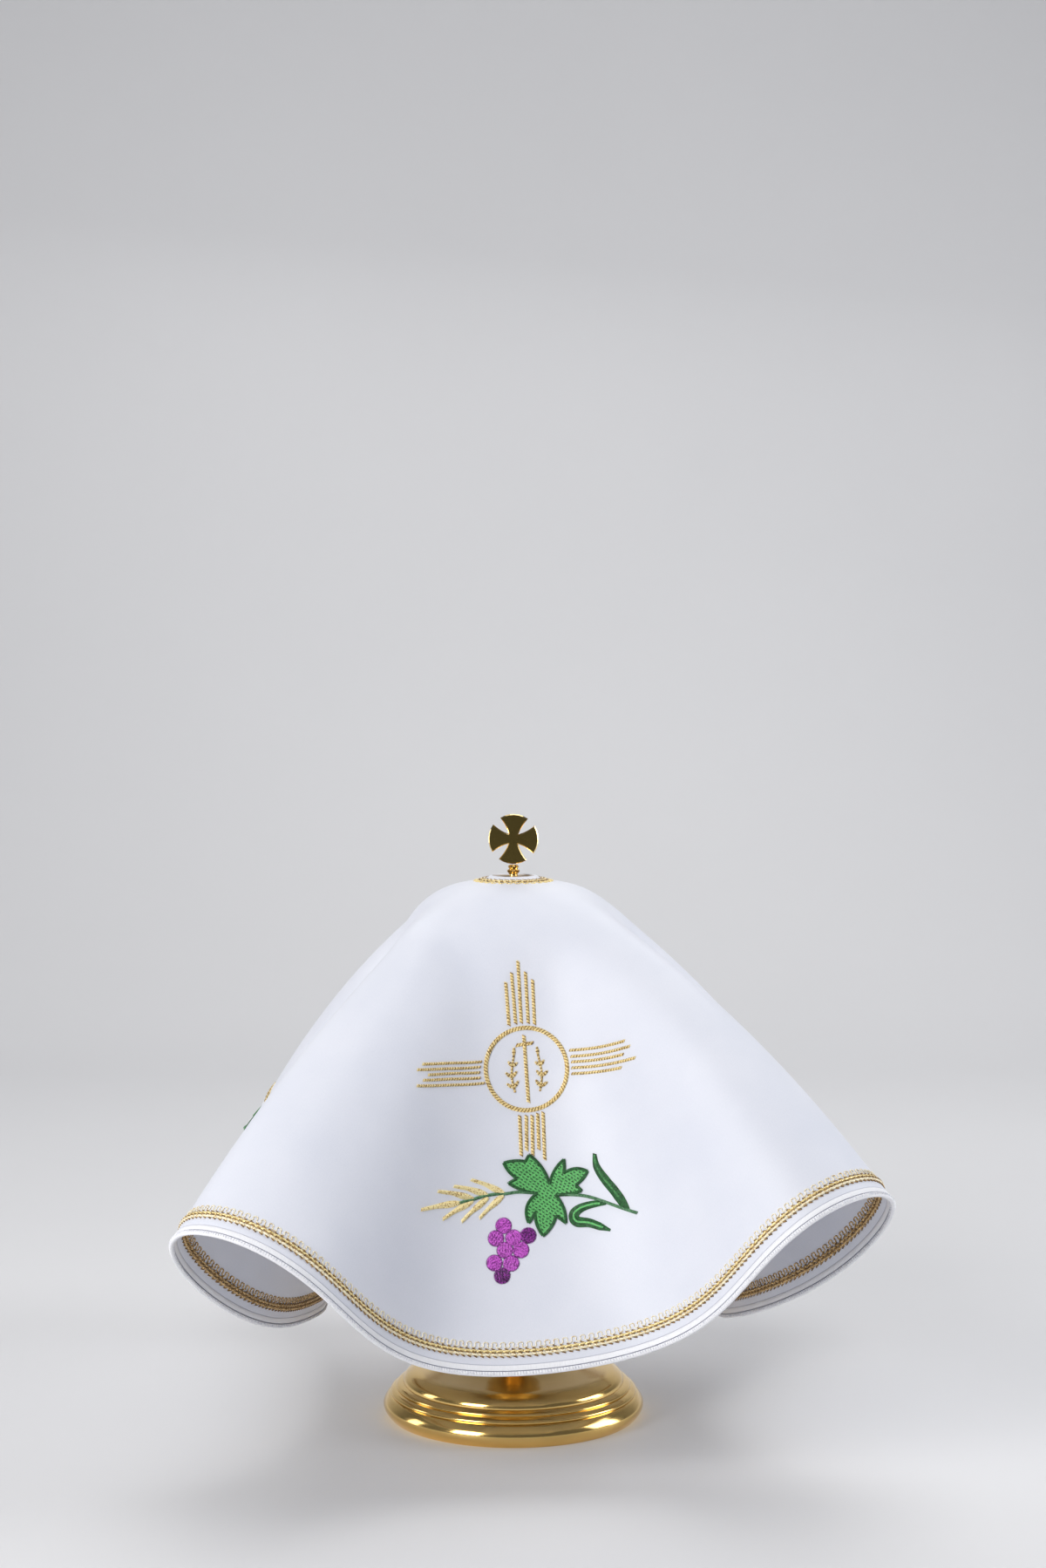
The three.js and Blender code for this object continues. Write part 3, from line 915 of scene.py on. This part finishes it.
def turned(name, profile, steps=160):
    """A closed piece turned about the upright axis from pairs of radius and height."""
    bm = bmesh.new()
    row = [bm.verts.new((radius, 0, height)) for radius, height in profile]
    for first, second in zip(row, row[1:]):
        bm.edges.new((first, second))
    bmesh.ops.spin(bm, geom=bm.verts[:] + bm.edges[:], cent=(0, 0, 0), axis=(0, 0, 1),
                   angle=2 * math.pi, steps=steps, use_merge=True)
    put(name + "_gilt", mesh_of(name, bm), TURNED_GILT, "gilt", [name])


def eased(points):
    """A smooth profile through a few pairs of radius and height."""
    return list(map(tuple, smooth_path(points)[::3]))


FOOT_TOP = 45
KNOP_BOTTOM = 79
KNOP_TOP = 103
CUP_BOTTOM = 142
SEAT_GAP = 0.3
STEM_STEPS = 96


def ciborium():
    """Foot, stems and knop, each the height of its CAD node and finer in section."""
    turned("foot", [
        (0, 0),
        *bead(62.4, 0, 62.6, 10.4, 2.9, 16),
        *bead(61.6, 10.8, 60.2, 13.4, 0.9),
        *bead(58.8, 13.8, 57.2, 16, 0.9),
        *bead(55.6, 16.4, 50, 22.4, 1.6),
        *eased([
            (47, 22.9), (40, 23.6), (31, 25), (25, 27.2), (20.6, 31.5), (17, 36.8), (14, FOOT_TOP),
        ]),
        (0, FOOT_TOP),
    ])
    turned("lower_stem", [
        (0, FOOT_TOP + SEAT_GAP),
        *eased([
            (13.9, FOOT_TOP + SEAT_GAP), (11.4, 52.7), (9.6, 60.6), (8.3, 70),
            (8, KNOP_BOTTOM - SEAT_GAP),
        ]),
        (0, KNOP_BOTTOM - SEAT_GAP),
    ], STEM_STEPS)
    turned("knop", [
        (0, KNOP_BOTTOM),
        *bead(9.5, KNOP_BOTTOM, 9.5, 82.6, 1.6),
        *bead(8.8, 83, 8.8, 99, 8.4, 24),
        *bead(9.5, 99.4, 9.5, KNOP_TOP, 1.6),
        (0, KNOP_TOP),
    ], STEM_STEPS)
    turned("upper_stem", [
        (0, KNOP_TOP + SEAT_GAP),
        *eased([
            (8, KNOP_TOP + SEAT_GAP), (7.2, 112), (7, 122), (7.8, 132), (11, CUP_BOTTOM - SEAT_GAP),
        ]),
        (0, CUP_BOTTOM - SEAT_GAP),
    ], STEM_STEPS)


ciborium()
veil_piece = veil()
gold_motif()
green_motif()
wheat_and_grapes()
braid("hem_braid", BRAID_RADIUS, -1, OUTER_FACE, CREAM_THREAD, GOLD_THREAD, CREAM_THREAD, 0.24)
braid("inner_hem_braid", BRAID_RADIUS, -1, INNER_FACE, OLD_GOLD_THREAD, OLD_GOLD_THREAD,
      OLD_GOLD_THREAD, 0.38)
braid("neck_braid", NECK_BRAID_RADIUS, 1, OUTER_FACE, CREAM_THREAD, GOLD_THREAD, GOLD_THREAD, 0.3)
overlock("hem_overlock")

shown_gilt = {"cup": TURNED_GILT, "lid": TURNED_GILT, "finial": TURNED_GILT, "cross": FLAT_GILT}
for node, material in shown_gilt.items():
    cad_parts[node].data.materials.clear()
    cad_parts[node].data.materials.append(material)


# Studio

def sweep():
    """A pale floor that curves up into a plain backdrop."""
    front, bend, radius, top = -3.0, 1.1, 0.7, 3.0
    profile = [(front, 0.0), (bend, 0.0)]
    for turn in np.radians(np.arange(6, 91, 6)):
        profile.append((bend + radius * math.sin(turn), radius - radius * math.cos(turn)))
    profile.append((bend + radius, top))
    bm = bmesh.new()
    row = [bm.verts.new((-4, y, z)) for y, z in profile]
    edges = [bm.edges.new(pair) for pair in zip(row, row[1:])]
    made = bmesh.ops.extrude_edge_only(bm, edges=edges)["geom"]
    far_side = [part for part in made if isinstance(part, bmesh.types.BMVert)]
    bmesh.ops.translate(bm, verts=far_side, vec=(8, 0, 0))
    bmesh.ops.recalc_face_normals(bm, faces=bm.faces)
    mesh = bpy.data.meshes.new("studio_floor")
    bm.to_mesh(mesh)
    bm.free()
    mesh.shade_smooth()
    finish = Finish("pale floor", Roughness=0.6)
    haze = finish.grain(finish.place(), 3, 3)
    finish.wear(Base_Color=finish.mix(haze, (0.74, 0.74, 0.75), (0.77, 0.77, 0.78)))
    mesh.materials.append(finish.material)
    floor = bpy.data.objects.new("studio_floor", mesh)
    bpy.context.scene.collection.objects.link(floor)


def softbox(name, place, aim, size, watts, colour=(1, 1, 1)):
    """A rectangular lamp at a place, turned towards what it lights."""
    light = bpy.data.lights.new(name, "AREA")
    light.shape = "RECTANGLE"
    light.size, light.size_y = size
    light.energy = watts
    light.color = colour
    lamp = bpy.data.objects.new(name, light)
    lamp.location = place
    lamp.rotation_euler = (Vector(aim) - Vector(place)).to_track_quat("-Z", "Y").to_euler()
    bpy.context.scene.collection.objects.link(lamp)


sweep()
softbox("left", (-1.2, -1.35, 0.85), (0, 0, 0.14), (0.8, 1.2), 26.5, (1.0, 0.99, 0.98))
softbox("right", (1.6, -0.1, 0.8), (0, 0, 0.17), (0.8, 1.2), 14, (0.97, 0.98, 1.0))
softbox("top", (0.1, 0.0, 1.8), (0, 0, 0.2), (1.2, 1.0), 8)
softbox("back", (0.1, 1.3, 1.4), (0, 0, 0.2), (1.4, 0.8), 7)
softbox("left strip", (-1.5, 0.15, 0.35), (0, 0, 0.25), (0.35, 0.9), 3)
softbox("right strip", (1.5, 0.15, 0.35), (0, 0, 0.25), (0.35, 0.9), 3)

world = bpy.data.worlds.new("studio")
world.use_nodes = True
background = world.node_tree.nodes["Background"]
background.inputs["Color"].default_value = (0.30, 0.31, 0.34, 1)
background.inputs["Strength"].default_value = 0.45
bpy.context.scene.world = world
bpy.context.scene.view_settings.view_transform = "Standard"

# Camera at the photograph's distance and angle
PHOTO_SIZE = (1200, 1799)
PHOTO_FOCAL = 2962
PHOTO_CENTRE_X = 589
CAMERA_PLACE = (0, -1.288, 0.372)
CAMERA_TILT = 2.46
camera_data = bpy.data.cameras.new("camera")
camera_data.sensor_width = 36
camera_data.lens = PHOTO_FOCAL / PHOTO_SIZE[1] * camera_data.sensor_width
camera_data.shift_x = (PHOTO_SIZE[0] / 2 - PHOTO_CENTRE_X) / PHOTO_SIZE[1]
camera = bpy.data.objects.new("camera", camera_data)
camera.location = CAMERA_PLACE
camera.rotation_euler = (math.radians(90 - CAMERA_TILT), 0, 0)
bpy.context.scene.collection.objects.link(camera)
bpy.context.scene.camera = camera
